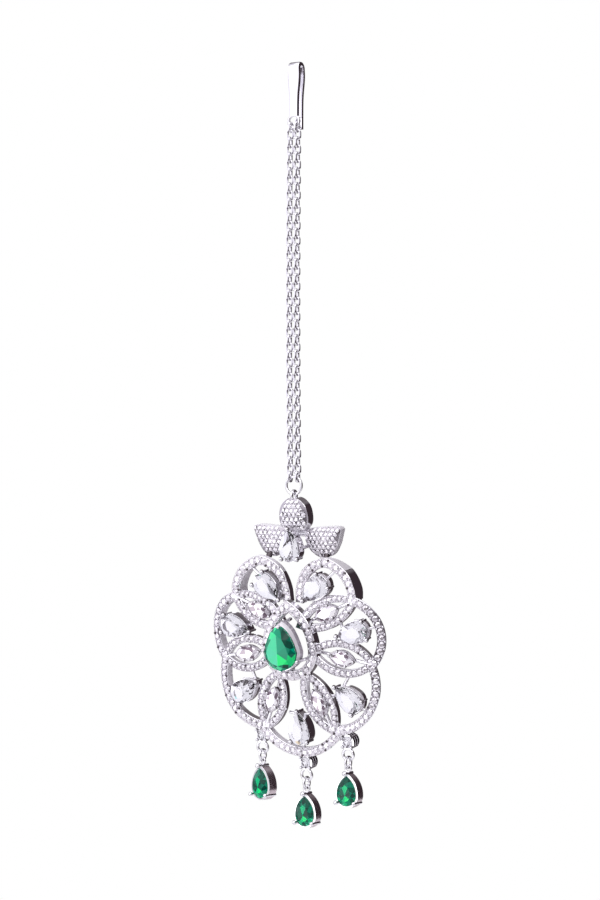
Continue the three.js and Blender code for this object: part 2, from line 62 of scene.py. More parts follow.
class Shape:
    def __init__(self):
        self.points = []
        self.faces = []
        self.kinds = []
        self.facet_lights = {}

    def add(self, points, faces, facet_lights):
        """Facets, each with painted light and shade from 0 for a dark one to 1 for a light one."""
        base, first = len(self.points), len(self.faces)
        self.points += [Vector(p) for p in points]
        self.faces += [[base + i for i in face] for face in faces]
        self.kinds += [POLISHED] * len(faces)
        for i, facet_light in enumerate(facet_lights):
            self.facet_lights[first + i] = facet_light

    def paint(self, first, kind):
        """One finish for every face from number first on."""
        self.kinds[first:] = [kind] * (len(self.faces) - first)

    def loft(self, rings, closed=False, kinds=None):
        """A surface through rings of points, with one finish for each side of the section."""
        m, n = len(rings[0]), len(rings)
        base = len(self.points)
        self.points += [Vector(p) for ring in rings for p in ring]
        for i in range(n if closed else n - 1):
            for j in range(m):
                a, b = i * m + j, i * m + (j + 1) % m
                c, d = (i + 1) % n * m + (j + 1) % m, (i + 1) % n * m + j
                self.faces.append([base + a, base + b, base + c, base + d])
                self.kinds.append(kinds[j] if kinds else POLISHED)
        if not closed:
            self.faces.append([base + j for j in range(m)][::-1])
            self.faces.append([base + (n - 1) * m + j for j in range(m)])
            self.kinds += [POLISHED, POLISHED]

    def wire(self, centres, sides, radius, facets):
        """A closed round wire through the centres; sides say where its facets start."""
        rings = []
        for i, p in enumerate(centres):
            along = (centres[(i + 1) % len(centres)] - centres[i - 1]).normalized()
            side = sides[i] - along * along.dot(sides[i])
            side.normalize()
            rings.append([p + radius * v for v in spokes(side, along.cross(side), facets)])
        self.loft(rings, True)

    def ring(self, centre, radius, wire, turn, steps=40, facets=12):
        """A ring of round wire that stands upright."""
        out = spokes(Vector((math.cos(turn), math.sin(turn), 0)), UP, steps)
        self.wire([centre + radius * v for v in out], out, wire, facets)

    def bar(self, start, end, radius, thin=1.0, kind=POLISHED):
        """A round bar; thin is the share of its radius that is left at its end."""
        along = (end - start).normalized()
        side = Vector((0, 1, 0)) if abs(along.y) < 0.9 else Vector((1, 0, 0))
        side = (side - along * along.dot(side)).normalized()
        spread = spokes(side, along.cross(side), BAR_FACETS)
        first = len(self.faces)
        self.loft([[start + radius * v for v in spread], [end + radius * thin * v for v in spread]])
        self.paint(first, kind)

    def ball(self, centre, radius, squash, axis, rows, facets, kind=POLISHED):
        """A ball whose height along its axis is the share squash of its width."""
        axis = axis.normalized()
        side = axis.orthogonal().normalized()
        spread = spokes(side, axis.cross(side), facets)
        rings = []
        for i in range(rows + 1):
            lift = math.pi * (i + 0.02) / (rows + 0.04) - math.pi / 2
            middle = centre + axis * radius * squash * math.sin(lift)
            rings.append([middle + radius * math.cos(lift) * v for v in spread])
        first = len(self.faces)
        self.loft(rings)
        self.paint(first, kind)


def piece(name, shape, materials, body, pose=None, replaces=(), smooth=40.0):
    """Make a shape an object on a body; edges under smooth degrees are rounded, and none at 0."""
    mesh = bpy.data.meshes.new(name)
    points = [pose @ p if pose else p for p in shape.points]
    mesh.from_pydata([tuple(p * MM) for p in points], [], shape.faces)
    for material in materials:
        mesh.materials.append(material)
    for face, kind in zip(mesh.polygons, shape.kinds):
        face.material_index = kind
    # Painted light and shade of each facet, kept as a face attribute
    if shape.facet_lights:
        facet_lights = mesh.attributes.new("facet_light", "FLOAT", "FACE")
        facet_lights.data.foreach_set("value", [shape.facet_lights.get(i, 1.0) for i in range(len(shape.faces))])
    edit = bmesh.new()
    edit.from_mesh(mesh)
    bmesh.ops.recalc_face_normals(edit, faces=edit.faces)
    edit.to_mesh(mesh)
    edit.free()
    if smooth:
        mesh.polygons.foreach_set("use_smooth", [True] * len(mesh.polygons))
        mesh.set_sharp_from_angle(angle=math.radians(smooth))
    obj = bpy.data.objects.new(name, mesh)
    bpy.context.scene.collection.objects.link(obj)
    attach(obj, body)
    if replaces:
        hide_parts(*replaces)


# Outlines as points (x, z)
CURVE_STEPS = 16


def arc3(p, q, r, steps):
    """The arc of a circle from p through q to r."""
    d = 2 * (p[0] * (q[1] - r[1]) + q[0] * (r[1] - p[1]) + r[0] * (p[1] - q[1]))
    sp, sq, sr = (a[0] ** 2 + a[1] ** 2 for a in (p, q, r))
    cx = (sp * (q[1] - r[1]) + sq * (r[1] - p[1]) + sr * (p[1] - q[1])) / d
    cz = (sp * (r[0] - q[0]) + sq * (p[0] - r[0]) + sr * (q[0] - p[0])) / d
    radius = math.hypot(p[0] - cx, p[1] - cz)
    start = math.atan2(p[1] - cz, p[0] - cx)
    end = math.atan2(r[1] - cz, r[0] - cx)
    clockwise = (q[0] - p[0]) * (r[1] - p[1]) - (q[1] - p[1]) * (r[0] - p[0]) < 0
    while clockwise and end > start:
        end -= 2 * math.pi
    while not clockwise and end < start:
        end += 2 * math.pi
    turns = [start + (end - start) * i / steps for i in range(steps + 1)]
    return [(cx + radius * math.cos(t), cz + radius * math.sin(t)) for t in turns]


def length(points):
    return sum(math.dist(a, b) for a, b in zip(points, points[1:]))


def spaced(points, steps):
    """The same line in equal steps, as steps + 1 points."""
    far = [0.0]
    for a, b in zip(points, points[1:]):
        far.append(far[-1] + math.dist(a, b))
    out, k = [], 0
    for i in range(steps + 1):
        goal = far[-1] * i / steps
        while k < len(far) - 2 and far[k + 1] < goal:
            k += 1
        share = (goal - far[k]) / ((far[k + 1] - far[k]) or 1)
        a, b = points[k], points[k + 1]
        out.append((a[0] + (b[0] - a[0]) * share, a[1] + (b[1] - a[1]) * share))
    return out


def smooth_line(points, steps):
    """A smooth curve through the points, in equal steps."""
    first = (2 * points[0][0] - points[1][0], 2 * points[0][1] - points[1][1])
    last = (2 * points[-1][0] - points[-2][0], 2 * points[-1][1] - points[-2][1])
    p = [Vector(a) for a in (first, *points, last)]
    dense = []
    for i in range(1, len(p) - 2):
        t0 = 0.0
        t1 = t0 + math.sqrt((p[i] - p[i - 1]).length)
        t2 = t1 + math.sqrt((p[i + 1] - p[i]).length)
        t3 = t2 + math.sqrt((p[i + 2] - p[i + 1]).length)
        for k in range(CURVE_STEPS):
            t = t1 + (t2 - t1) * k / CURVE_STEPS
            a1 = (t1 - t) / (t1 - t0) * p[i - 1] + (t - t0) / (t1 - t0) * p[i]
            a2 = (t2 - t) / (t2 - t1) * p[i] + (t - t1) / (t2 - t1) * p[i + 1]
            a3 = (t3 - t) / (t3 - t2) * p[i + 1] + (t - t2) / (t3 - t2) * p[i + 2]
            b1 = (t2 - t) / (t2 - t0) * a1 + (t - t0) / (t2 - t0) * a2
            b2 = (t3 - t) / (t3 - t1) * a2 + (t - t1) / (t3 - t1) * a3
            dense.append(tuple((t2 - t) / (t2 - t1) * b1 + (t - t1) / (t2 - t1) * b2))
    dense.append(tuple(p[-2]))
    return spaced(dense, steps)


def mirrored(points):
    return [(-x, z) for x, z in points][::-1]


def lifted(points, rise):
    return [(x, z + rise) for x, z in points]


def turned(points, x, z, angle):
    """The points moved to a spot, with their first axis turned to an angle in degrees."""
    c, s = math.cos(math.radians(angle)), math.sin(math.radians(angle))
    return [(x + a * c - b * s, z + a * s + b * c) for a, b in points]


def placed(points, x, z, angle):
    """The points moved to a spot, with their second axis, a stone's tip, turned to an angle."""
    return turned(points, x, z, angle - 90)


def drawn_in(p, spot, share):
    """A point drawn toward a spot, with this share of its distance left."""
    return spot[0] + (p[0] - spot[0]) * share, spot[1] + (p[1] - spot[1]) * share


def pear(half, tip, steps, taper=0.0):
    """A half round below z = 0 and an arched tip above it; taper draws the sides of the tip in."""
    side = (half * half + tip * tip) / (2 * half)
    lean = math.asin(tip / side)
    low, high = steps // 2, steps // 4
    below = [math.pi + i * math.pi / low for i in range(low)]
    above = [i * lean / high for i in range(high + 1)]
    points = [(half * math.cos(t), half * math.sin(t)) for t in below]
    arch = [(half - side + side * math.cos(t), side * math.sin(t)) for t in above]
    points += arch[:-1] + mirrored(arch[1:])
    return [(x * (1 - taper * math.sin(math.pi * max(0, z) / tip)), z) for x, z in points]


def marquise(half, reach, steps):
    """A pointed oval, which is two arcs that meet at its ends."""
    side = (half * half + reach * reach) / (2 * half)
    lean = math.asin(reach / side)
    each = steps // 2
    points = []
    for sign in (1, -1):
        for i in range(each):
            t = sign * (-lean + 2 * lean * i / each)
            points.append((sign * (half - side + side * math.cos(t)), side * math.sin(t)))
    return points


def circle(radius, steps):
    turns = [(i + 0.5) * 2 * math.pi / steps for i in range(steps)]
    return [(radius * math.cos(t), radius * math.sin(t)) for t in turns]


def inside(points, x, z):
    """Whether a spot lies inside a closed outline."""
    hit = False
    for (x0, z0), (x1, z1) in zip(points, points[1:] + points[:1]):
        if (z0 > z) != (z1 > z) and x < (x1 - x0) * (z - z0) / (z1 - z0) + x0:
            hit = not hit
    return hit


def edge_distance(points, x, z):
    """How far a spot is from a closed outline."""
    best = math.inf
    p = Vector((x, z))
    for a, b in zip(points, points[1:] + points[:1]):
        a, b = Vector(a), Vector(b)
        t = max(0, min(1, (p - a).dot(b - a) / ((b - a).length_squared or 1)))
        best = min(best, (a + t * (b - a) - p).length)
    return best


# The medallion's own plane: x right, z up from the hinge line, h out of the face
FACE = 3.0
FLAT_HALF = 16.0
BEND = 14.0
PROBE = 0.05
SHARPEST = 1.5
WALL_FOOT = -0.5


def on_face(x, z, h):
    """A spot on the medallion, whose side edges bend back round a wide curve."""
    out = abs(x) - FLAT_HALF
    if out <= 0:
        return Vector((x, -h, z))
    turn = out / BEND
    reach = BEND + h - FACE
    depth = FACE + reach * math.cos(turn) - BEND
    return Vector((math.copysign(FLAT_HALF + reach * math.sin(turn), x), -depth, z))


def level(h):
    """A height field that is the same everywhere."""
    return lambda x, z: h


def face_normal(x, z, height=level(FACE)):
    """Which way a height field looks at a spot."""
    e = PROBE
    a = on_face(x + e, z, height(x + e, z)) - on_face(x - e, z, height(x - e, z))
    b = on_face(x, z + e, height(x, z + e)) - on_face(x, z - e, height(x, z - e))
    return a.cross(b).normalized() * (1 if a.cross(b).y < 0 else -1)


def band(shape, points, closed, section, front, kinds, deep=None):
    """A section of (offset, height) pairs taken along an outline; deep scales how far its walls go back.

    Positive offsets are to the left of the way the outline runs.
    """
    n = len(points)
    rings = []
    for i, p in enumerate(points):
        before = points[(i - 1) % n] if closed else points[max(0, i - 1)]
        after = points[(i + 1) % n] if closed else points[min(n - 1, i + 1)]
        t = Vector((p[0] - before[0], p[1] - before[1])).normalized()
        t += Vector((after[0] - p[0], after[1] - p[1])).normalized()
        stretch = 1 if not closed and i in (0, n - 1) else min(SHARPEST, 2 / t.length)
        t.normalize()
        h = front(*p)
        scale = deep(*p) if deep else 1
        ring = []
        for offset, up in section:
            x = p[0] - t.y * offset * stretch
            z = p[1] + t.x * offset * stretch
            ring.append(on_face(x, z, h + up * (scale if up < WALL_FOOT else 1)))
        rings.append(ring)
    shape.loft(rings, closed, kinds)


# Painted light and shade of facets, standing for what a cut stone reflects: u runs across a stone and v
# along it, both from -1 to 1


# Painted light and shade at random: light on a table, anything from dark to light elsewhere
def random_facet_light(u, v, on_table):
    return dice.uniform(0.82, 1.0) if on_table else dice.uniform(0.25, 1.0)


def middle_facet_light(u, v, on_table):
    """Painted light and shade over the stone's own green: a mint painted reflection on the left of the
    table, deep green with a painted bright foot on the right, painted dark round the edge.
    """
    if on_table:
        if u < 0.02:
            return 1.0 - dice.uniform(0, 0.06)
        return 0.8 if v < -0.1 else dice.uniform(0.42, 0.55)
    if u > 0.3 and -0.45 < v < 0.0:
        return dice.uniform(0.66, 0.82)
    if u < -0.1 and v > 0.2:
        return dice.choice((0.4, 0.9))
    if u < 0.1 and v < -0.4:
        return dice.choice((0.3, 0.55, 0.93))
    return dice.choice((0.08, 0.25, 0.4, 0.5))


def drop_facet_light(u, v, on_table):
    """Painted light and shade over the stone's own green: dark round the edge, a lighter streak down the
    middle, a bright patch low on the right.
    """
    if on_table:
        if u > 0.08 and v < -0.08:
            return 0.78
        return dice.uniform(0.58, 0.68) if -0.25 < u < 0.12 else dice.choice((0.06, 0.2))
    if v < -0.1:
        return dice.choice((0.15, 0.4, 0.6, 0.98))
    return dice.choice((0.05, 0.15, 0.35))


def petal_facet_light(u, v, on_table):
    """Painted light and grey wedges in turn, as painted reflections of a bright room."""
    return dice.choice((0.1, 0.45, 0.8, 1.0, 1.0)) if on_table else dice.choice((0.0, 0.3, 0.7, 1.0))


# Cut stones
KITE_HEIGHT = 0.58
GIRDLE_SHARE = 0.02
# Painted light of the back facets: a middle one
BACK_FACET_LIGHT = 0.5


def cut_stone(shape, outline, spot, girdle, crown, depth, table, place=on_face, facet_light=random_facet_light, fan=False):
    """A brilliant cut: table, stars, kites, halves, girdle, and a pointed back if it has a depth.

    Each facet takes painted light or shade from its place across and along the stone, by the function
    given. A fan splits the table into flat wedges, each with painted light of its own, as a real table
    shows the facets under it.
    """
    n = len(outline)
    half = n // 2
    rim = GIRDLE_SHARE * max(math.dist(p, spot) for p in outline)
    top = [drawn_in(p, spot, table) for p in outline[::2]]
    mid = [drawn_in(p, spot, 0.5 + table / 2) for p in outline[1::2]]
    flat = top + mid + outline
    points = [place(*p, girdle + crown) for p in top]
    points += [place(*p, girdle + crown * KITE_HEIGHT) for p in mid]
    points += [place(*p, girdle + rim) for p in outline]
    faces = [list(range(half))]
    m0, g0 = half, 2 * half
    if fan:
        hub = len(points)
        points.append(place(*spot, girdle + crown))
        flat.append(spot)
        faces = [[hub, j, (j + 1) % half] for j in range(half)]
    wedges = len(faces)
    for j in range(half):
        faces.append([j, m0 + j, (j + 1) % half])
        faces.append([j, m0 + (j - 1) % half, g0 + 2 * j, m0 + j])
        faces.append([m0 + j, g0 + 2 * j, g0 + 2 * j + 1])
        faces.append([m0 + j, g0 + 2 * j + 1, g0 + (2 * j + 2) % n])
    b0 = len(points)
    if depth:
        p0 = b0 + n
        tip = p0 + half
        points += [place(*p, girdle - rim) for p in outline]
        low = [drawn_in(p, spot, 0.5) for p in outline[1::2]]
        points += [place(*p, girdle - depth * KITE_HEIGHT) for p in low]
        points.append(place(*spot, girdle - depth))
        for i in range(n):
            faces.append([g0 + i, b0 + i, b0 + (i + 1) % n, g0 + (i + 1) % n])
        for j in range(half):
            after = (2 * j + 2) % n
            faces.append([b0 + 2 * j, p0 + j, b0 + 2 * j + 1])
            faces.append([b0 + 2 * j + 1, p0 + j, b0 + after])
            faces.append([b0 + after, p0 + j, tip, p0 + (j + 1) % half])
    wide = max(abs(p[0] - spot[0]) for p in outline)
    tall = max(abs(p[1] - spot[1]) for p in outline)
    facet_lights = []
    for k, face in enumerate(faces):
        if max(face) >= b0:
            facet_lights.append(BACK_FACET_LIGHT)
            continue
        u = sum(flat[i][0] - spot[0] for i in face) / len(face) / wide
        v = sum(flat[i][1] - spot[1] for i in face) / len(face) / tall
        facet_lights.append(facet_light(u, v, k < wedges))
    shape.add(points, faces, facet_lights)


# Materials
GRAIN_SCALE, GRAIN_DETAIL, GRAIN_DEPTH = 1400.0, 3.0, 0.00005


def principled(name, **values):
    """A material whose shader's sockets take the values, with _ for the spaces in their names."""
    material = bpy.data.materials.new(name)
    material.use_nodes = True
    shader = material.node_tree.nodes["Principled BSDF"]
    for key, value in values.items():
        shader.inputs[key.replace("_", " ")].default_value = value
    return material, material.node_tree, shader


def make_silver(name, color, low, high, bump, metallic=1.0):
    """Metal with a fine noise that moves its roughness and bumps it a little."""
    material, tree, shader = principled(name, Metallic=metallic, Base_Color=(*color, 1))
    coords = tree.nodes.new("ShaderNodeTexCoord")
    noise = tree.nodes.new("ShaderNodeTexNoise")
    noise.inputs["Scale"].default_value = GRAIN_SCALE
    noise.inputs["Detail"].default_value = GRAIN_DETAIL
    tree.links.new(coords.outputs["Object"], noise.inputs["Vector"])
    spread = tree.nodes.new("ShaderNodeMapRange")
    spread.inputs["To Min"].default_value = low
    spread.inputs["To Max"].default_value = high
    tree.links.new(noise.outputs["Fac"], spread.inputs["Value"])
    tree.links.new(spread.outputs["Result"], shader.inputs["Roughness"])
    relief = tree.nodes.new("ShaderNodeBump")
    relief.inputs["Strength"].default_value = bump
    relief.inputs["Distance"].default_value = GRAIN_DEPTH
    tree.links.new(noise.outputs["Fac"], relief.inputs["Height"])
    tree.links.new(relief.outputs["Normal"], shader.inputs["Normal"])
    return material


def make_stone(name, stops, **values):
    """A stone whose facets take their colour from their painted light and shade."""
    material, tree, shader = principled(name, **values)
    facet_light = tree.nodes.new("ShaderNodeAttribute")
    facet_light.attribute_name = "facet_light"
    ramp = tree.nodes.new("ShaderNodeValToRGB")
    elements = ramp.color_ramp.elements
    while len(elements) < len(stops):
        elements.new(0.5)
    for element, (place, color) in zip(elements, stops):
        element.position = place
        element.color = (*color, 1)
    tree.links.new(facet_light.outputs["Fac"], ramp.inputs["Fac"])
    tree.links.new(ramp.outputs["Color"], shader.inputs["Base Color"])
    return material


SILVER = make_silver("silver_polished", (0.90, 0.89, 0.92), 0.04, 0.12, 0.10)
SATIN_SILVER = make_silver("silver_satin", (0.86, 0.83, 0.87), 0.30, 0.42, 0.15, metallic=0.2)
# Silver darkened to grey as painted shade: on the seats between small stones, dome fronts, petal bezels and
# some walls
GREY_SHADE_SILVER = make_silver("silver_painted_grey_shade", (0.46, 0.43, 0.47), 0.22, 0.38, 0.20)
# Silver darkened almost to black as painted shade: dark beads between stones, claw collars, stripes on the
# foot cups, one post and the leaf corner balls
DARK_SHADE_SILVER = make_silver("silver_painted_dark_shade", (0.13, 0.11, 0.12), 0.25, 0.40, 0.20)
# The drops' outer walls: silver darkened to a pinkish brown as painted shade
DROP_WALL_SHADE_SILVER = make_silver("silver_wall_painted_shade", (0.66, 0.57, 0.60), 0.22, 0.32, 0.15)
FRAME_METALS = [SILVER, SATIN_SILVER, GREY_SHADE_SILVER, DARK_SHADE_SILVER]

# Colours for painted facet light, from painted shade at 0 to painted reflection at 1; teal and orange in
# clear stones are painted fire
TEAL_FIRE, ORANGE_FIRE = 0.0, 0.1
PAVE_STOPS = [
    (0.0, (0.20, 0.15, 0.19)),
    (0.55, (0.88, 0.85, 0.91)),
    (1.0, (1.0, 0.98, 1.0)),
]
CLEAR_STOPS = [
    (TEAL_FIRE, (0.25, 0.8, 0.75)),
    (ORANGE_FIRE, (1.0, 0.72, 0.35)),
    (0.25, (0.90, 0.89, 0.94)),
    (1.0, (0.99, 0.985, 1.0)),
]
# The green is the stone's own colour; its range from dark to bright is painted shade and light
GREEN_STOPS = [
    (0.0, (0.0, 0.035, 0.024)),
    (0.3, (0.0, 0.17, 0.10)),
    (0.55, (0.0, 0.42, 0.22)),
    (0.8, (0.0, 0.95, 0.22)),
    (1.0, (0.11, 0.80, 0.49)),
]
PAVE = make_stone("pave_stone", PAVE_STOPS, Metallic=0.75, Roughness=0.05, Specular_IOR_Level=0.8)
CLEAR = make_stone("clear_stone_cut", CLEAR_STOPS, Roughness=0.0, IOR=1.45, Transmission_Weight=1.0)
GREEN = make_stone("green_stone_cut", GREEN_STOPS, Roughness=0.0, IOR=1.6, Transmission_Weight=0.14,
                   Specular_IOR_Level=0.15)

# Medallion layout, with the part's own values
MIDDLE = -35.5
RIM_WIDTH, SIDE_DEPTH, INNER_DEPTH, SHOULDER_DEPTH = 2.1, 1.8, 1.5, 3.6
NOTCH = {"upper": (14.9, 12.3), "lower": (19.0, -2.3), "foot": (10.0, -17.5)}
APEX = {"side": (21.3, 6.2), "hip": (18.4, -11.9), "foot": (0, -23.1)}
TOP_LOBE = [(1.6, 11.4), (2.0, 15.0), (4.0, 18.7), (8.6, 20.6), (12.9, 18.3), (14.9, 14.6), NOTCH["upper"]]
HALO_TOP = 6.0
FINE = 40

top_lobe = smooth_line(TOP_LOBE, FINE + 16)
side_lobe = arc3(NOTCH["upper"], APEX["side"], NOTCH["lower"], FINE)
hip_lobe = arc3(NOTCH["lower"], APEX["hip"], NOTCH["foot"], FINE)
foot_lobe = arc3(NOTCH["foot"], APEX["foot"], (-NOTCH["foot"][0], NOTCH["foot"][1]), FINE + 6)

# Hanging pose of the medallion, which turns about a level line through the foot of the jump ring
HINGE = -96.2
HANG = -1.05
LEAN_BACK, LEAN_ASIDE = 8, 0.9
LEAN = Matrix.Rotation(math.radians(LEAN_BACK), 4, "X") @ Matrix.Rotation(math.radians(LEAN_ASIDE), 4, "Y")
POSE = Matrix.Translation((0, HANG, HINGE)) @ LEAN

metal = Shape()
pave = Shape()
beads = Shape()


def gem(node, shape, material, pose=POSE):
    piece(node + "_cut", shape, [material], "medallion", pose, (node,), 0)


# Rows of small stones and their bead claws
ROUND_STEPS = 16
ROUND = circle(1.0, ROUND_STEPS)
SMALL_CROWN, SMALL_TABLE = 0.34, 0.5
TIP_OFF, SPIN = 0.13, 1.5
ROW_STEPS = 400
STONE, PITCH, BEAD = 0.72, 1.5, 0.27
BEAD_ASIDE = 0.74
BEAD_SQUASH = 0.9
DARK_SHARE = 0.15
ROW_END = 0.75


def small_stone(centre, normal, radius):
    """A round stone, crown only, tipped and turned a little at random."""
    tilt = Vector((dice.uniform(-TIP_OFF, TIP_OFF), 0, dice.uniform(-TIP_OFF, TIP_OFF)))
    turn = dice.uniform(0, SPIN)
    normal = (normal + tilt).normalized()
    side = normal.orthogonal().normalized()
    up = normal.cross(side)
    c, s = math.cos(turn), math.sin(turn)
    a, b = side * c + up * s, up * c - side * s

    def place(x, z, h):
        return centre + radius * (a * x + b * z + normal * h)

    cut_stone(pave, ROUND, (0, 0), 0.0, SMALL_CROWN, None, SMALL_TABLE, place)


def pave_row(points, closed, front, radius=STONE, pitch=PITCH, skip=0.0, aside=BEAD_ASIDE, bead=BEAD):
    """A row of round stones along a line, with a pair of bead claws between each two.

    Some beads are dark, larger and set lower, and read as the shade between two stones.
    """
    line = points + points[:1] if closed else points
    total = length(line)
    count = max(1, round((total - 2 * skip) / pitch))
    step = (total - 2 * skip) / count
    dense = spaced(line, ROW_STEPS)

    def at(run):
        return dense[min(ROW_STEPS - 1, max(0, int(run / total * ROW_STEPS)))]

    for k in range(count if closed else count + 1):
        run = skip + k * step
        x, z = at(run)
        small_stone(on_face(x, z, front(x, z) + 0.03), face_normal(x, z, front), radius)
        if closed or k < count:
            x0, z0 = at(run + step * 0.5 - PROBE)
            x1, z1 = at(run + step * 0.5 + PROBE)
            t = Vector((x1 - x0, z1 - z0)).normalized()
            for s in (1, -1):
                gx, gz = x0 - t.y * s * aside, z0 + t.x * s * aside
                dark = dice.random() < DARK_SHARE
                lift, size = (-0.02, bead * 1.15) if dark else (0.06, bead)
                spot = on_face(gx, gz, front(x0, z0) + lift)
                beads.ball(spot, size, BEAD_SQUASH, face_normal(gx, gz), 5, 8, int(dark))


# Rim of seven lobes; where one is cut, at a number of steps along it, its walls change finish
EDGE = 0.1
UNDERCUT, FOOT_UNDERCUT = 0.55, 0.3
NOTCH_POST = 0.85
TOP_CUT, HIP_CUT = 41, 14
DEEPENS_FROM, DEEPENS_OVER = 8, 5
rim_front = level(FACE)


def flat_band(width, depth, undercut=0.0):
    """Section of a band: upright walls, the first one drawn in at its foot, and eased edges."""
    w = width / 2
    return [(w - undercut, -depth), (w, -EDGE), (w - EDGE, 0.0),
            (-w + EDGE, 0.0), (-w, -EDGE), (-w, -depth)]


def band_kinds(first, second):
    """Finishes of a band, with painted grey shade on its top, and those of the walls at positive and at
    negative offsets.
    """
    return [first, POLISHED, GREY_SHADE, POLISHED, second, SATIN]


def top_depth(x, z):
    """The share of their full depth that the top lobes have: least near the middle."""
    share = min(1, max(0, (abs(x) - DEEPENS_FROM) / DEEPENS_OVER))
    return (INNER_DEPTH + (SHOULDER_DEPTH - INNER_DEPTH) * share) / SHOULDER_DEPTH


for flip in (False, True):
    for lobe in (top_lobe, side_lobe, hip_lobe):
        line = lifted(mirrored(lobe) if flip else lobe, MIDDLE)
        if lobe is top_lobe:
            section, deep, cut = flat_band(RIM_WIDTH, SHOULDER_DEPTH), top_depth, TOP_CUT
            before, after = band_kinds(SATIN, SATIN), band_kinds(POLISHED, SATIN)
        else:
            section, deep, cut = flat_band(RIM_WIDTH, SIDE_DEPTH, UNDERCUT), None, 0
            before, after = band_kinds(SATIN, POLISHED), band_kinds(SATIN, SATIN)
        if flip and lobe is hip_lobe:
            cut = HIP_CUT
        band(metal, line[cut:], False, section, rim_front, after, deep)
        if cut:
            band(metal, line[:cut + 1], False, section, rim_front, before, deep)
        pave_row(line, False, rim_front, skip=ROW_END)
line = lifted(foot_lobe, MIDDLE)
section = flat_band(RIM_WIDTH, SIDE_DEPTH, FOOT_UNDERCUT)
band(metal, line, False, section, rim_front, band_kinds(SATIN, SATIN))
pave_row(line, False, rim_front, skip=ROW_END)
for name, (x, z) in NOTCH.items():
    back = FACE + 0.1 - (SHOULDER_DEPTH if name == "upper" else SIDE_DEPTH)
    for side in (-1, 1):
        ends = [on_face(side * x, z + MIDDLE, h) for h in (back, FACE - 0.2)]
        metal.bar(*ends, NOTCH_POST)

# Ball claws: heights are over the seat, and a collar or ball is (height, radius, rows, facets)
COLLAR_SQUASH, CLAW_SQUASH = 0.6, 0.85
PETAL_CLAW = {"neck": 0.4, "stem": 0.2, "collar": (0.25, 0.38, 6, 10), "ball": (0.5, 0.29, 6, 10)}
PEAR_CLAW = {"neck": 0.25, "stem": 0.27, "collar": (0.02, 0.58, 6, 12), "ball": (0.38, 0.45, 7, 12)}
CUP_CLAW = {"neck": 0.15, "stem": 0.3, "collar": (-0.02, 0.42, 6, 10), "ball": (0.2, 0.34, 6, 10)}


def ball_claw(x, z, foot, seat, neck, stem, collar, ball):
    """A stem that starts from foot, under a collar painted dark as shade and a ball."""
    metal.bar(on_face(x, z, foot), on_face(x, z, seat + neck), stem)
    for part, squash, kind in ((collar, COLLAR_SQUASH, DARK_SHADE), (ball, CLAW_SQUASH, POLISHED)):
        h, radius, rows, facets = part
        metal.ball(on_face(x, z, seat + h), radius, squash, face_normal(x, z), rows, facets, kind)


# Petals, which rise toward the middle: name, x, z, angle, half width, shift to the left
PETALS = [
    ("upper", 8.8, 9.4, 24, 2.7, 0),
    ("middle", 12.2, -0.7, -10, 3.4, 0),
    ("lower", 6.1, -11.2, -68, 2.9, 0.4),
]
PETAL_REACH, PETAL_RISE, PETAL_STEPS = 7.0, 2.0, 48
RISE_IN, RISE_OUT = 6, 19
PETAL_BAND = (1.8, 1.4)
PETAL_ROW = {"radius": 0.6, "pitch": 1.3, "skip": 0.65, "aside": 0.62, "bead": 0.24}
# The petal bezel's top and eased edges are painted grey shade
PETAL_KINDS = [SATIN, GREY_SHADE, GREY_SHADE, GREY_SHADE, POLISHED, SATIN]
PETAL_STONE, PETAL_BEZEL = (1.68, 3.0), (1.78, 3.15)
PETAL_LIFT, PETAL_CROWN, PETAL_BACK, PETAL_TABLE = 0.25, 0.6, 1.0, 0.6
KEEL_DOWN, KEEL = 1.2, 0.4
PETAL_CLAWS = [(1.2, 1.5), (-1.2, 1.5), (1.2, -1.5), (-1.2, -1.5), (3.1, 0), (-3.1, 0)]
PETAL_WALL = [(0.14, -1.0), (0.14, 0.02), (0.08, 0.1), (-0.08, 0.1), (-0.14, 0.02), (-0.14, -1.0)]


def petal_front(x, z):
    r = math.hypot(x, z - MIDDLE)
    return FACE + PETAL_RISE * min(1, max(0, (RISE_OUT - r) / (RISE_OUT - RISE_IN)))


def petal(node, x, z, angle, half):
    """A pierced petal with a row of stones down each side, and a walled stone over a keel."""
    outline = placed(marquise(half, PETAL_REACH, PETAL_STEPS), x, z, angle)
    band(metal, outline, True, flat_band(*PETAL_BAND), petal_front, band_kinds(SATIN, POLISHED))
    tip = PETAL_STEPS // 2
    for part in (outline[:tip + 1], outline[tip:] + outline[:1]):
        pave_row(part, False, petal_front, **PETAL_ROW)
    rise = petal_front(x, z)
    ends = turned([(-PETAL_REACH, 0), (PETAL_REACH, 0)], x, z, angle)
    metal.bar(*[on_face(*end, rise - KEEL_DOWN) for end in ends], KEEL)
    stone = Shape()
    cut = placed(marquise(*PETAL_STONE, 16), x, z, angle)
    cut_stone(stone, cut, (x, z), rise + PETAL_LIFT, PETAL_CROWN, PETAL_BACK, PETAL_TABLE,
              facet_light=petal_facet_light, fan=True)
    bezel = placed(marquise(*PETAL_BEZEL, 32), x, z, angle)
    band(metal, bezel, True, PETAL_WALL, level(rise + 0.1), PETAL_KINDS)
    for spot in turned(PETAL_CLAWS, x, z, angle):
        ball_claw(*spot, rise - 0.9, rise, **PETAL_CLAW)
    gem(node, stone, PAVE)


for name, x, z, angle, half, shift in PETALS:
    petal("petal_stone_" + name + "_right", x - shift, z + MIDDLE, angle, half)
    petal("petal_stone_" + name + "_left", -x - shift, z + MIDDLE, 180 - angle, half)

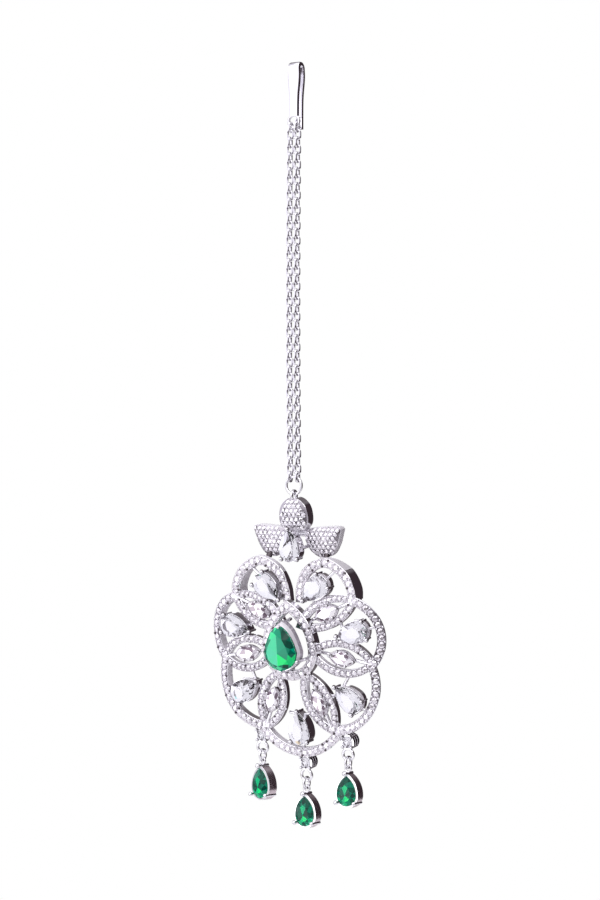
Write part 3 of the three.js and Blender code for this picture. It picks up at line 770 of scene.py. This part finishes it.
# Halo round the middle stone
HALO_PEAR, HALO_RISE, HALO_BAND = (5.85, 10.0), 1.0, (2.2, 2.0)
halo = placed(pear(*HALO_PEAR, 72), 0, HALO_RISE + MIDDLE, 90)
band(metal, halo, True, flat_band(*HALO_BAND), level(HALO_TOP), band_kinds(SATIN, POLISHED))
pave_row(halo, True, level(HALO_TOP))

# Pear stones in their own walls, with ball claws; the lobes' are name, x, z, angle of the tip
WALL_STEPS = 48
WALL, INSET, UNDER, EASE = 0.32, 0.02, 0.34, 0.05
PEAR_CROWN, PEAR_BACK, PEAR_TABLE = 0.32, 0.72, 0.52
LOBE_HALF, LOBE_TIP, LOBE_GIRDLE, LOBE_SILL = 2.55, 4.8, 4.3, 3.0
LOBE_STONES = [
    ("top_right", 7.0, 15.5, 222),
    ("side_right", 16.3, 5.5, 193),
    ("hip_right", 14.0, -10.6, 140),
    ("foot", 0.1, -18.6, 91),
    ("hip_left", -14.6, -9.8, 32),
    ("side_left", -16.3, 5.5, -13),
    ("top_left", -7.0, 15.5, -42),
]
# Number and painted light of one facet painted with fire, a flash of coloured light, in two of the stones
FIRES = {"hip_left": (9, TEAL_FIRE), "foot": (10, ORANGE_FIRE)}
# Outer walls other than satin: polished ones, and painted grey shade on side_left
WALL_KINDS = {"foot": POLISHED, "top_left": POLISHED, "side_left": GREY_SHADE}
ARMS = [((-2.4, 0), (-4.9, 0)), ((4.1, 0.5), (4.5, 3.2)), ((4.1, -0.5), (4.5, -3.2))]
ARM_START, ARM_END, ARM_WIRE = 2.2, 2.0, 0.34
MIDDLE_CLAWS = [(0, 7.1), (-4.3, -0.6), (4.3, -0.6), (0, -3.05)]


def three_claws(half, tip):
    """One claw past the tip and two on the round end."""
    return [(0, tip + 0.35), (-half * 0.82, -half * 0.72), (half * 0.82, -half * 0.72)]


def pear_wall(spot, angle, half, tip, girdle, sill, kinds, flare=0, taper=0.0):
    """A thin wall round a pear; flare draws its foot out, most of all below the tip."""
    w, low, top = WALL / 2, girdle - sill, girdle - UNDER
    corners = [
        (w, 0, top - EASE),
        (w - EASE, 0, top),
        (EASE - w, 0, top),
        (-w, 0, top - EASE),
        (-w + flare / 5, flare, low),
        (w + flare / 5, flare, low),
        (w + flare / 7, flare * 0.7, low + 0.5 * (top - low)),
    ]
    runs = []
    for grow, longer, h in corners:
        line = pear(half - INSET + grow, tip - INSET + grow + longer, WALL_STEPS, taper)
        runs.append([on_face(x, z, h) for x, z in placed(line, *spot, angle)])
    metal.loft(list(zip(*runs)), True, kinds)


def clear_pear(node, spot, angle, half, tip, girdle, sill, outer=POLISHED, fire=None):
    """A clear pear with its wall and claws; fire is the number and the painted light of one facet painted
    with coloured fire.
    """
    stone = Shape()
    outline = placed(pear(half, tip, 16), *spot, angle)
    cut_stone(stone, outline, spot, girdle, PEAR_CROWN * half, PEAR_BACK * half, PEAR_TABLE)
    if fire:
        facet, facet_light = fire
        stone.facet_lights[facet] = facet_light
    gem(node, stone, CLEAR)
    kinds = [POLISHED, POLISHED, POLISHED, SATIN, POLISHED, POLISHED, outer]
    pear_wall(spot, angle, half, tip, girdle, sill, kinds)
    for x, z in placed(three_claws(half, tip), *spot, angle):
        ball_claw(x, z, girdle - sill + 0.3, girdle, **PEAR_CLAW)


for name, x, z, angle in LOBE_STONES:
    spot = (x, z + MIDDLE)
    clear_pear("lobe_stone_" + name, spot, angle, LOBE_HALF, LOBE_TIP, LOBE_GIRDLE, LOBE_SILL,
               WALL_KINDS.get(name, SATIN), FIRES.get(name))
    for ends in ARMS:
        start, end = turned(ends, *spot, angle)
        metal.bar(on_face(*start, ARM_START), on_face(*end, ARM_END), ARM_WIRE)

# Middle stone, raised on a flared wall and four claws
MID = (0, 1.3 + MIDDLE)
MID_HALF, MID_TIP, MID_TAPER, MID_TABLE = 4.1, 6.1, 0.1, 0.68
MID_GIRDLE, MID_SILL, MID_FLARE = 10.2, 2.9, 0.6
# The lower outside of the flared wall is painted grey shade
MID_KINDS = [POLISHED, POLISHED, POLISHED, SATIN, POLISHED, GREY_SHADE, SATIN]
MID_CLAW, CLAW_SPLAY = 0.42, 1.12
CLAW_LOW, CLAW_HIGH = 4.6, 10.4
stone = Shape()
outline = placed(pear(MID_HALF, MID_TIP, 24, MID_TAPER), *MID, 90)
cut_stone(stone, outline, MID, MID_GIRDLE, PEAR_CROWN * MID_HALF, PEAR_BACK * MID_HALF, MID_TABLE,
          facet_light=middle_facet_light, fan=True)
gem("middle_stone", stone, GREEN)
pear_wall(MID, 90, MID_HALF, MID_TIP, MID_GIRDLE, MID_SILL, MID_KINDS, MID_FLARE, MID_TAPER)
for x, z in MIDDLE_CLAWS:
    foot = on_face(x, z * CLAW_SPLAY + MIDDLE, CLAW_LOW)
    metal.bar(foot, on_face(x, z + MIDDLE, CLAW_HIGH), MID_CLAW, thin=0.8)
    metal.ball(on_face(x, z + MIDDLE, CLAW_HIGH + 0.05), MID_CLAW, 0.8, FRONT, 7, 12)

# Crown: domed pads covered in rows of small stones, and a clear pear in front of them
BUD_SIDE = [(2.5, -8.0), (3.5, -6.7), (3.7, -4.8), (3.15, -2.6), (1.6, -1.1), (0, -0.7)]
LEAF = [(2.1, -8.0), (6.1, -7.5), (11.2, -7.6), (10.9, -9.4), (10.0, -11.8), (8.5, -13.8), (5.9, -14.4),
        (3.3, -12.9), (2.0, -10.6)]
BUD_PAD, LEAF_PAD = (-1.7, 0.8, 1.7), (-2.4, -0.5, 0.1)
BUD_STONE, LEAF_STONE = 0.53, 0.51
BUD_SHIFT, LEAF_SHIFT = (0.35, 0.5), (0.45, 0.5)
DOME_SHARES = (0.93, 0.85, 0.72, 0.56, 0.38, 0.18)
DOME_POWER = 2.2
DOME_SPAN = 2.6
PAD_PITCH, PAD_BEAD = 1.14, 0.17
ROW_RISE, BEAD_REACH, MARGIN = 0.866, 0.577, 0.7
CROWN_SPOT = (0, -12.4)
CROWN_HALF, CROWN_TIP, CROWN_GIRDLE, CROWN_SILL = 2.45, 4.7, 3.8, 2.6
BRIDGE, BRIDGE_WIRE = (2.6, -8.9, -1.2), 0.9
# The third post on each side is painted dark shade
POSTS = [
    ((2.2, -11.9, -1.6), (2.4, -11.9, 2.0), 0.4, POLISHED),
    ((2.2, -11.9, -1.4), (3.6, -11.9, -1.4), 0.4, POLISHED),
    ((7.2, -12.6, -1.5), (7.6, -15.4, 1.0), 0.7, DARK_SHADE),
]
LEAF_CORNER = (10.6, -8.3, -0.45)


def on_side(side, spot):
    """A spot of the right half of the medallion, or its mirror image where side is -1."""
    x, z, h = spot
    return on_face(side * x, z, h)


def domed(outline, back, shoulder, front, wall=POLISHED):
    """A pad with upright sides and a domed front painted grey as shade; returns the front's height field.
    """
    centre = [sum(values) / len(outline) for values in zip(*outline)]
    levels = [(1, back), (1, shoulder - EASE), (0.985, shoulder)]
    for share in DOME_SHARES:
        levels.append((share, shoulder + (front - shoulder) * (1 - share ** DOME_POWER)))
    base, around = len(metal.faces), len(outline)
    metal.loft([[on_face(*drawn_in(p, centre, share), h) for p in outline] for share, h in levels])
    metal.kinds[base:base + around] = [wall] * around
    metal.paint(base + 2 * around, GREY_SHADE)
    metal.kinds[-2] = SATIN

    def height(x, z):
        k = 1 - min(1, edge_distance(outline, x, z) / DOME_SPAN)
        return shoulder + (front - shoulder) * (1 - k ** DOME_POWER)

    return height


def pave_field(outline, height, radius, shift):
    """Staggered rows of small stones over a pad, with a bead between each three; shift moves the rows."""
    xs, zs = zip(*outline)
    row, z = 0, min(zs) + shift[1]
    while z < max(zs):
        x = min(xs) + shift[0] + (row % 2) * PAD_PITCH / 2
        while x < max(xs):
            if inside(outline, x, z) and edge_distance(outline, x, z) > radius * MARGIN:
                normal = face_normal(x, z, height)
                small_stone(on_face(x, z, height(x, z) + 0.02), normal, radius)
                for turn in (90, 210):
                    gx = x + PAD_PITCH * BEAD_REACH * math.cos(math.radians(turn))
                    gz = z + PAD_PITCH * BEAD_REACH * math.sin(math.radians(turn))
                    if inside(outline, gx, gz):
                        spot = on_face(gx, gz, height(gx, gz) + 0.06)
                        beads.ball(spot, PAD_BEAD, BEAD_SQUASH, normal, 4, 7)
            x += PAD_PITCH
        z += PAD_PITCH * ROW_RISE
        row += 1


bud_side = smooth_line(BUD_SIDE, 20)
bud = bud_side + mirrored(bud_side)[1:]
pave_field(bud, domed(bud, *BUD_PAD), BUD_STONE, BUD_SHIFT)
leaf = smooth_line(LEAF, 44)
for line in (leaf, mirrored(leaf)):
    pave_field(line, domed(line, *LEAF_PAD, SATIN), LEAF_STONE, LEAF_SHIFT)
metal.bar(on_side(-1, BRIDGE), on_side(1, BRIDGE), BRIDGE_WIRE)
clear_pear("crown_stone", CROWN_SPOT, 90, CROWN_HALF, CROWN_TIP, CROWN_GIRDLE, CROWN_SILL)
for side in (-1, 1):
    for start, end, radius, kind in POSTS:
        metal.bar(on_side(side, start), on_side(side, end), radius, kind=kind)
    # A ball painted dark as shade at each leaf corner
    metal.ball(on_side(side, LEAF_CORNER), 0.42, 0.8, FRONT, 6, 10, DARK_SHADE)

# Bail, and the foot stones with their soldered loops
FEET = [("left", -11.1, -20.1), ("middle", 0.1, -25.8), ("right", 11.2, -20.3)]
FOOT_STONE, CUP_RADIUS, CUP_HALF = 1.3, 1.56, 0.225
FOOT_GIRDLE, FOOT_CROWN, FOOT_BACK, FOOT_TABLE = 2.0, 0.42, 0.9, 0.58
LOOP_RADIUS, LOOP_WIRE = 1.3, 0.32
CUP_HEIGHTS = (-EASE, -0.65, -0.95, -1.6, -1.9, -2.6)
# Stripes of painted dark shade on the cup's outer wall, between two light lines
CUP_KINDS = [SATIN, POLISHED, POLISHED, POLISHED, DARK_SHADE, SATIN, DARK_SHADE, SATIN, DARK_SHADE, SATIN]
CUP = [(CUP_HALF, -2.6), (CUP_HALF, -EASE), (CUP_HALF - EASE, 0), (-CUP_HALF + EASE, 0)]
CUP += [(-CUP_HALF, h) for h in CUP_HEIGHTS]


def foot_cup(node, x, z):
    """A round stone in a cup with four claws, whose outer wall has two light lines between three stripes of
    painted dark shade.
    """
    stone = Shape()
    outline = placed(circle(FOOT_STONE, ROUND_STEPS), x, z, 90)
    cut_stone(stone, outline, (x, z), FOOT_GIRDLE, FOOT_CROWN, FOOT_BACK, FOOT_TABLE)
    gem(node, stone, CLEAR)
    band(metal, placed(circle(CUP_RADIUS, 32), x, z, 90), True, CUP, level(FOOT_GIRDLE - 0.1), CUP_KINDS)
    for gx, gz in placed(circle(CUP_RADIUS, 4), x, z, 90):
        ball_claw(gx, gz, FOOT_GIRDLE - 2.7, FOOT_GIRDLE, **CUP_CLAW)
    metal.bar(on_face(x, z + 1.2, 0.8), on_face(x, z + 3.2, 1.6), 0.7)


BAIL, BAIL_WIRE = 1.05, 0.36
metal.ring(Vector((0, 0, -0.3)), BAIL, BAIL_WIRE, EDGEWAYS)
loops = {}
for name, x, z in FEET:
    foot_cup("foot_stone_" + name, x, z + MIDDLE)
    loops[name] = Vector((x, -1.6, z + MIDDLE - CUP_RADIUS - LOOP_RADIUS))
    metal.ring(loops[name], LOOP_RADIUS, LOOP_WIRE, FACING)

piece("frame_metal", metal, FRAME_METALS, "medallion", POSE, ("medallion_frame",), 38)
piece("pave_stones", pave, [PAVE], "medallion", POSE, (), 0)
piece("bead_claws", beads, [SILVER, DARK_SHADE_SILVER], "medallion", POSE, (), 60)

# Drops, which hang straight down from the loops; a drop's own origin is the middle of its eye
RING_RADIUS, RING_WIRE = 1.25, 0.3
EYE_RADIUS, EYE_WIRE = 0.75, 0.22
CLEAR_GAP = 0.1
BODY = -6.0
DROP_HALF, DROP_TIP = 2.45, 4.3
DROP_GIRDLE, DROP_CROWN, DROP_BACK, DROP_TABLE = 0.9, 0.8, 2.2, 0.56
DROP_CLAWS = [(0, BODY + 4.9, 0.62), (-2.35, BODY - 1.7, 0.52), (2.35, BODY - 1.7, 0.52)]
DROP_WALL = [
    (0.5, -1.6),
    (0.5, DROP_GIRDLE - 0.16),
    (0.44, DROP_GIRDLE - 0.1),
    (0.18, DROP_GIRDLE - 0.1),
    (0.12, DROP_GIRDLE - 0.16),
    (0.12, -1.6),
]
# The drop's materials: silver, and its outer wall's painted shade
OWN_SILVER, OWN_WALL_SHADE = 0, 1
TURNS = {"left": -14, "middle": -3, "right": -1}


def in_drop(x, z, h):
    return Vector((x, -h, z))


def drop_line(grow, steps):
    return lifted(pear(DROP_HALF + grow, DROP_TIP + grow * 1.3, steps), BODY)


def drop_setting():
    """The wall round a drop's stone, its outside painted darker as shade, with an eye above it and three
    ball claws.
    """
    setting = Shape()
    runs = [[in_drop(x, z, h) for x, z in drop_line(grow, WALL_STEPS)] for grow, h in DROP_WALL]
    setting.loft(list(zip(*runs)), True, [OWN_WALL_SHADE] + [OWN_SILVER] * 5)
    setting.ring(Vector((0, 0, 0)), EYE_RADIUS, EYE_WIRE, FACING, 28, 10)
    setting.bar(in_drop(0, -EYE_RADIUS + 0.05, 0), in_drop(0, BODY + 4.75, -0.3), 0.35)
    for x, z, size in DROP_CLAWS:
        setting.bar(in_drop(x, z, -1.7), in_drop(x, z, 1.5), size * 0.65)
        setting.ball(in_drop(x, z, 1.6), size, 0.9, FRONT, 8, 14)
    return setting


for name, *_ in FEET:
    loop = POSE @ loops[name]
    ring_top = loop.z - LOOP_RADIUS + LOOP_WIRE + RING_WIRE + CLEAR_GAP + 0.06
    ring_at = Vector((loop.x, loop.y, ring_top - RING_RADIUS))
    link = Shape()
    link.ring(ring_at, RING_RADIUS, RING_WIRE, EDGEWAYS)
    piece("drop_ring_fine_" + name, link, [SILVER], "medallion", None, ("drop_ring_" + name,))
    eye_top = ring_at.z - RING_RADIUS + RING_WIRE + EYE_WIRE + CLEAR_GAP + 0.04
    pose = Matrix.Translation((loop.x, loop.y, eye_top - EYE_RADIUS))
    pose = pose @ Matrix.Rotation(math.radians(TURNS[name]), 4, "Z")
    metals = [SILVER, DROP_WALL_SHADE_SILVER]
    node = "drop_setting_" + name
    piece("drop_setting_fine_" + name, drop_setting(), metals, "medallion", pose, (node,))
    stone = Shape()
    cut_stone(stone, drop_line(0, 24), (0, BODY), DROP_GIRDLE, DROP_CROWN, DROP_BACK, DROP_TABLE,
              in_drop, drop_facet_light, True)
    gem("drop_stone_" + name, stone, GREEN, pose)

# Jump ring
JUMP_RADIUS, JUMP_WIRE = 1.95, 0.3
jump_at = Vector((0, HANG, HINGE + JUMP_RADIUS))
jump = Shape()
jump.ring(jump_at, JUMP_RADIUS, JUMP_WIRE, FACING, 56, 14)
piece("jump_ring_fine", jump, [SILVER], "hanger", None, ("jump_ring",))

# Hook: a hairpin of flat strip, wider near its top, with an eye at its foot
HOOK_GAP, HOOK_THICK, FRONT_END, BACK_END = 1.2, 0.9, -11.4, -14.2
HOOK_HALF, HOOK_SWELL, SWELL_AT, SWELL_RUN = 1.1, 0.45, -2.2, 3.6
HOOK_EYE, HOOK_EYE_WIRE = 1.35, 0.32
LEG_STEPS, TURN_STEPS = 12, 24
reach = (HOOK_GAP + HOOK_THICK) / 2


def leg(y, end):
    """The middle line of a leg from its end up to the bend."""
    shares = [1 - k / LEG_STEPS for k in range(LEG_STEPS)]
    return [(y, end * s - reach * (1 - s)) for s in shares]


def hook_section(half):
    """A strip with rounded front corners, as pairs (across, out)."""
    t = HOOK_THICK / 2
    left = [(-half + 0.3, t), (-half + 0.08, t - 0.08), (-half, t - 0.3), (-half, -t + 0.06),
            (-half + 0.06, -t)]
    return left + mirrored(left)


hook_line = leg(-reach, FRONT_END)
for i in range(TURN_STEPS + 1):
    t = math.pi - i * math.pi / TURN_STEPS
    hook_line.append((reach * math.cos(t), reach * math.sin(t) - HOOK_GAP / 2))
hook_line += leg(reach, BACK_END)[::-1]
rings = []
for i, (y, z) in enumerate(hook_line):
    a, b = hook_line[max(0, i - 1)], hook_line[min(len(hook_line) - 1, i + 1)]
    far = math.dist(a, b)
    out_y, out_z = -(b[1] - a[1]) / far, (b[0] - a[0]) / far
    half = HOOK_HALF + HOOK_SWELL * math.exp(-(((z - SWELL_AT) / SWELL_RUN) ** 2))
    rings.append([Vector((x, y + out_y * k, z + out_z * k)) for x, k in hook_section(half)])
hook = Shape()
hook.loft(rings)
eye_at = Vector((0, -reach, FRONT_END - HOOK_EYE + 0.2))
hook.ring(eye_at, HOOK_EYE, HOOK_EYE_WIRE, FACING)
piece("hook_fine", hook, [SILVER], "hanger", None, ("hook",))

# Chain strands, whose links lie flat and on edge in turn
LINK_WIRE, LINK_HALF, LINKS = 0.27, 0.66, 47
TOP_SPREAD, SPREAD, BOW = 0.76, 0.95, 0.25
TOP_SLACK, FOOT_SLACK, PRESS = 0.3, 0.26, 0.12
HALF_TURN, LINK_FACETS = 9, 8


def link_line(centre, across, straight):
    """Centres of a link's wire: two half turns with straight sides between them."""
    line = []
    for half_turn, shift in ((0, straight), (math.pi, -straight)):
        for j in range(HALF_TURN + 1):
            t = half_turn + j * math.pi / HALF_TURN
            rise = Vector((0, 0, LINK_HALF * math.sin(t) + shift))
            line.append(centre + across * LINK_HALF * math.cos(t) + rise)
    return line


def strand(name, side):
    top = eye_at.z - math.sqrt(HOOK_EYE ** 2 - TOP_SPREAD ** 2) - HOOK_EYE_WIRE
    foot = jump_at.z + math.sqrt(JUMP_RADIUS ** 2 - SPREAD ** 2) + JUMP_WIRE
    first, last = top + HOOK_EYE_WIRE * 2 + TOP_SLACK, foot - JUMP_WIRE * 2 - FOOT_SLACK
    inner = (first - last - (LINKS - 1) * PRESS) / LINKS
    straight = inner / 2 + LINK_WIRE - LINK_HALF
    shape = Shape()
    for k in range(LINKS):
        bow = BOW * math.sin(math.pi * (k / (LINKS - 1)))
        x = side * (SPREAD if k else TOP_SPREAD) - bow
        centre = Vector((x, HANG, first - inner / 2 - k * (inner + PRESS)))
        wide, flat = Vector((1, 0, 0)), Vector((0, 1, 0))
        across, normal = (wide, flat) if k % 2 else (flat, wide)
        line = link_line(centre, across, straight)
        shape.wire(line, [normal] * len(line), LINK_WIRE, LINK_FACETS)
    piece("strand_fine_" + name, shape, [SILVER], "hanger", None, ("chain_strand_" + name,))


strand("left", -1)
strand("right", 1)

# Floor
FLOOR_SIZE, FLOOR_LEVEL = 0.6, -0.30
bpy.ops.mesh.primitive_plane_add(size=FLOOR_SIZE, location=(0, 0, FLOOR_LEVEL))
floor = bpy.context.object
floor.name = "floor"
floor_material, _, _ = principled("floor_plain", Base_Color=(0.93, 0.93, 0.94, 1), Roughness=0.8)
floor.data.materials.append(floor_material)

# Studio, in cards of a direction, a sharp and a soft edge in degrees, and a colour

# What metal and facets mirror
MIRRORED_BASE = (0.78, 0.76, 0.82)
MIRRORED = [
    ((-0.5, 0.87, 0.0), 52, 74, (0.16, 0.14, 0.15)),
    ((-0.5, 0.83, 0.26), 10, 14, (1.3, 1.3, 1.35)),
    ((-0.35, -0.8, 0.45), 24, 34, (1.7, 1.68, 1.75)),
    ((-0.9, -0.1, 0.2), 18, 30, (1.25, 1.22, 1.35)),
    ((0.1, -0.3, 1.0), 26, 36, (1.6, 1.6, 1.65)),
    ((0.2, -0.95, -0.35), 14, 22, (0.13, 0.11, 0.12)),
    ((0.75, 0.65, 0.0), 40, 52, (0.04, 0.028, 0.034)),
    ((0.95, -0.3, 0.1), 20, 28, (0.06, 0.045, 0.05)),
    ((0.6, -0.75, 0.55), 9, 13, (2.6, 2.6, 2.6)),
    ((-0.5, -0.83, -0.24), 9, 12, (2.4, 2.4, 2.4)),
]
# What is seen through the stones
BEHIND_BASE = (0.84, 0.83, 0.89)
BEHIND = [
    ((-0.5, 0.87, 0.0), 45, 70, (1.0, 0.99, 1.06)),
    ((0.4, 0.8, -0.5), 20, 30, (1.9, 1.9, 1.9)),
    ((-0.9, 0.3, 0.3), 20, 30, (0.25, 0.25, 0.28)),
]
world = bpy.data.worlds.new("studio")
bpy.context.scene.world = world
world.use_nodes = True
sky = world.node_tree
sky.nodes.clear()
direction = sky.nodes.new("ShaderNodeTexCoord").outputs["Generated"]


def card(toward, inner, outer):
    """How much of a soft-edged round card is seen in each direction."""
    dot = sky.nodes.new("ShaderNodeVectorMath")
    dot.operation = "DOT_PRODUCT"
    dot.inputs[1].default_value = Vector(toward).normalized()
    sky.links.new(direction, dot.inputs[0])
    fade = sky.nodes.new("ShaderNodeMapRange")
    fade.inputs["From Min"].default_value = math.cos(math.radians(outer))
    fade.inputs["From Max"].default_value = math.cos(math.radians(inner))
    sky.links.new(dot.outputs["Value"], fade.inputs["Value"])
    return fade.outputs["Result"]


def studio(base, cards):
    """A background of one base colour with the cards mixed over it in turn."""
    layer = None
    for toward, inner, outer, color in cards:
        mix = sky.nodes.new("ShaderNodeMix")
        mix.data_type = "RGBA"
        mix.inputs[6].default_value = (*base, 1)
        if layer:
            sky.links.new(layer, mix.inputs[6])
        mix.inputs[7].default_value = (*color, 1)
        sky.links.new(card(toward, inner, outer), mix.inputs[0])
        layer = mix.outputs[2]
    background = sky.nodes.new("ShaderNodeBackground")
    sky.links.new(layer, background.inputs["Color"])
    return background.outputs["Background"]


def choose(share, first, second):
    """The second light where share is 1, and the first elsewhere."""
    mix = sky.nodes.new("ShaderNodeMixShader")
    sky.links.new(share, mix.inputs["Fac"])
    sky.links.new(first, mix.inputs[1])
    sky.links.new(second, mix.inputs[2])
    return mix.outputs["Shader"]


path = sky.nodes.new("ShaderNodeLightPath").outputs
plain_white = sky.nodes.new("ShaderNodeBackground")
plain_white.inputs["Color"].default_value = (1, 1, 1, 1)
light = choose(path["Is Transmission Ray"], studio(MIRRORED_BASE, MIRRORED), studio(BEHIND_BASE, BEHIND))
light = choose(path["Is Camera Ray"], light, plain_white.outputs["Background"])
end = sky.nodes.new("ShaderNodeOutputWorld")
sky.links.new(light, end.inputs["Surface"])

bpy.context.scene.view_settings.view_transform = "Standard"

# Camera, level and to the right of the face; SCALE is in pixels a millimetre
AZIMUTH, DISTANCE, SCALE = math.radians(30), 650.0, 4.45
LEVEL, SIDE_SHIFT = -86.3, 0.83
SENSOR, PICTURE_HEIGHT = 36, 900
right = Vector((math.cos(AZIMUTH), math.sin(AZIMUTH), 0))
ahead = Vector((-math.sin(AZIMUTH), math.cos(AZIMUTH), 0))
eye = Vector((0, 0, LEVEL)) - ahead * DISTANCE + right * SIDE_SHIFT
lens = bpy.data.cameras.new("camera")
lens.lens = SCALE * DISTANCE * SENSOR / PICTURE_HEIGHT
lens.clip_end = 10
camera = bpy.data.objects.new("camera", lens)
camera.location = eye * MM
camera.rotation_euler = ahead.to_track_quat("-Z", "Y").to_euler()
bpy.context.scene.collection.objects.link(camera)
bpy.context.scene.camera = camera

bpy.context.view_layer.update()
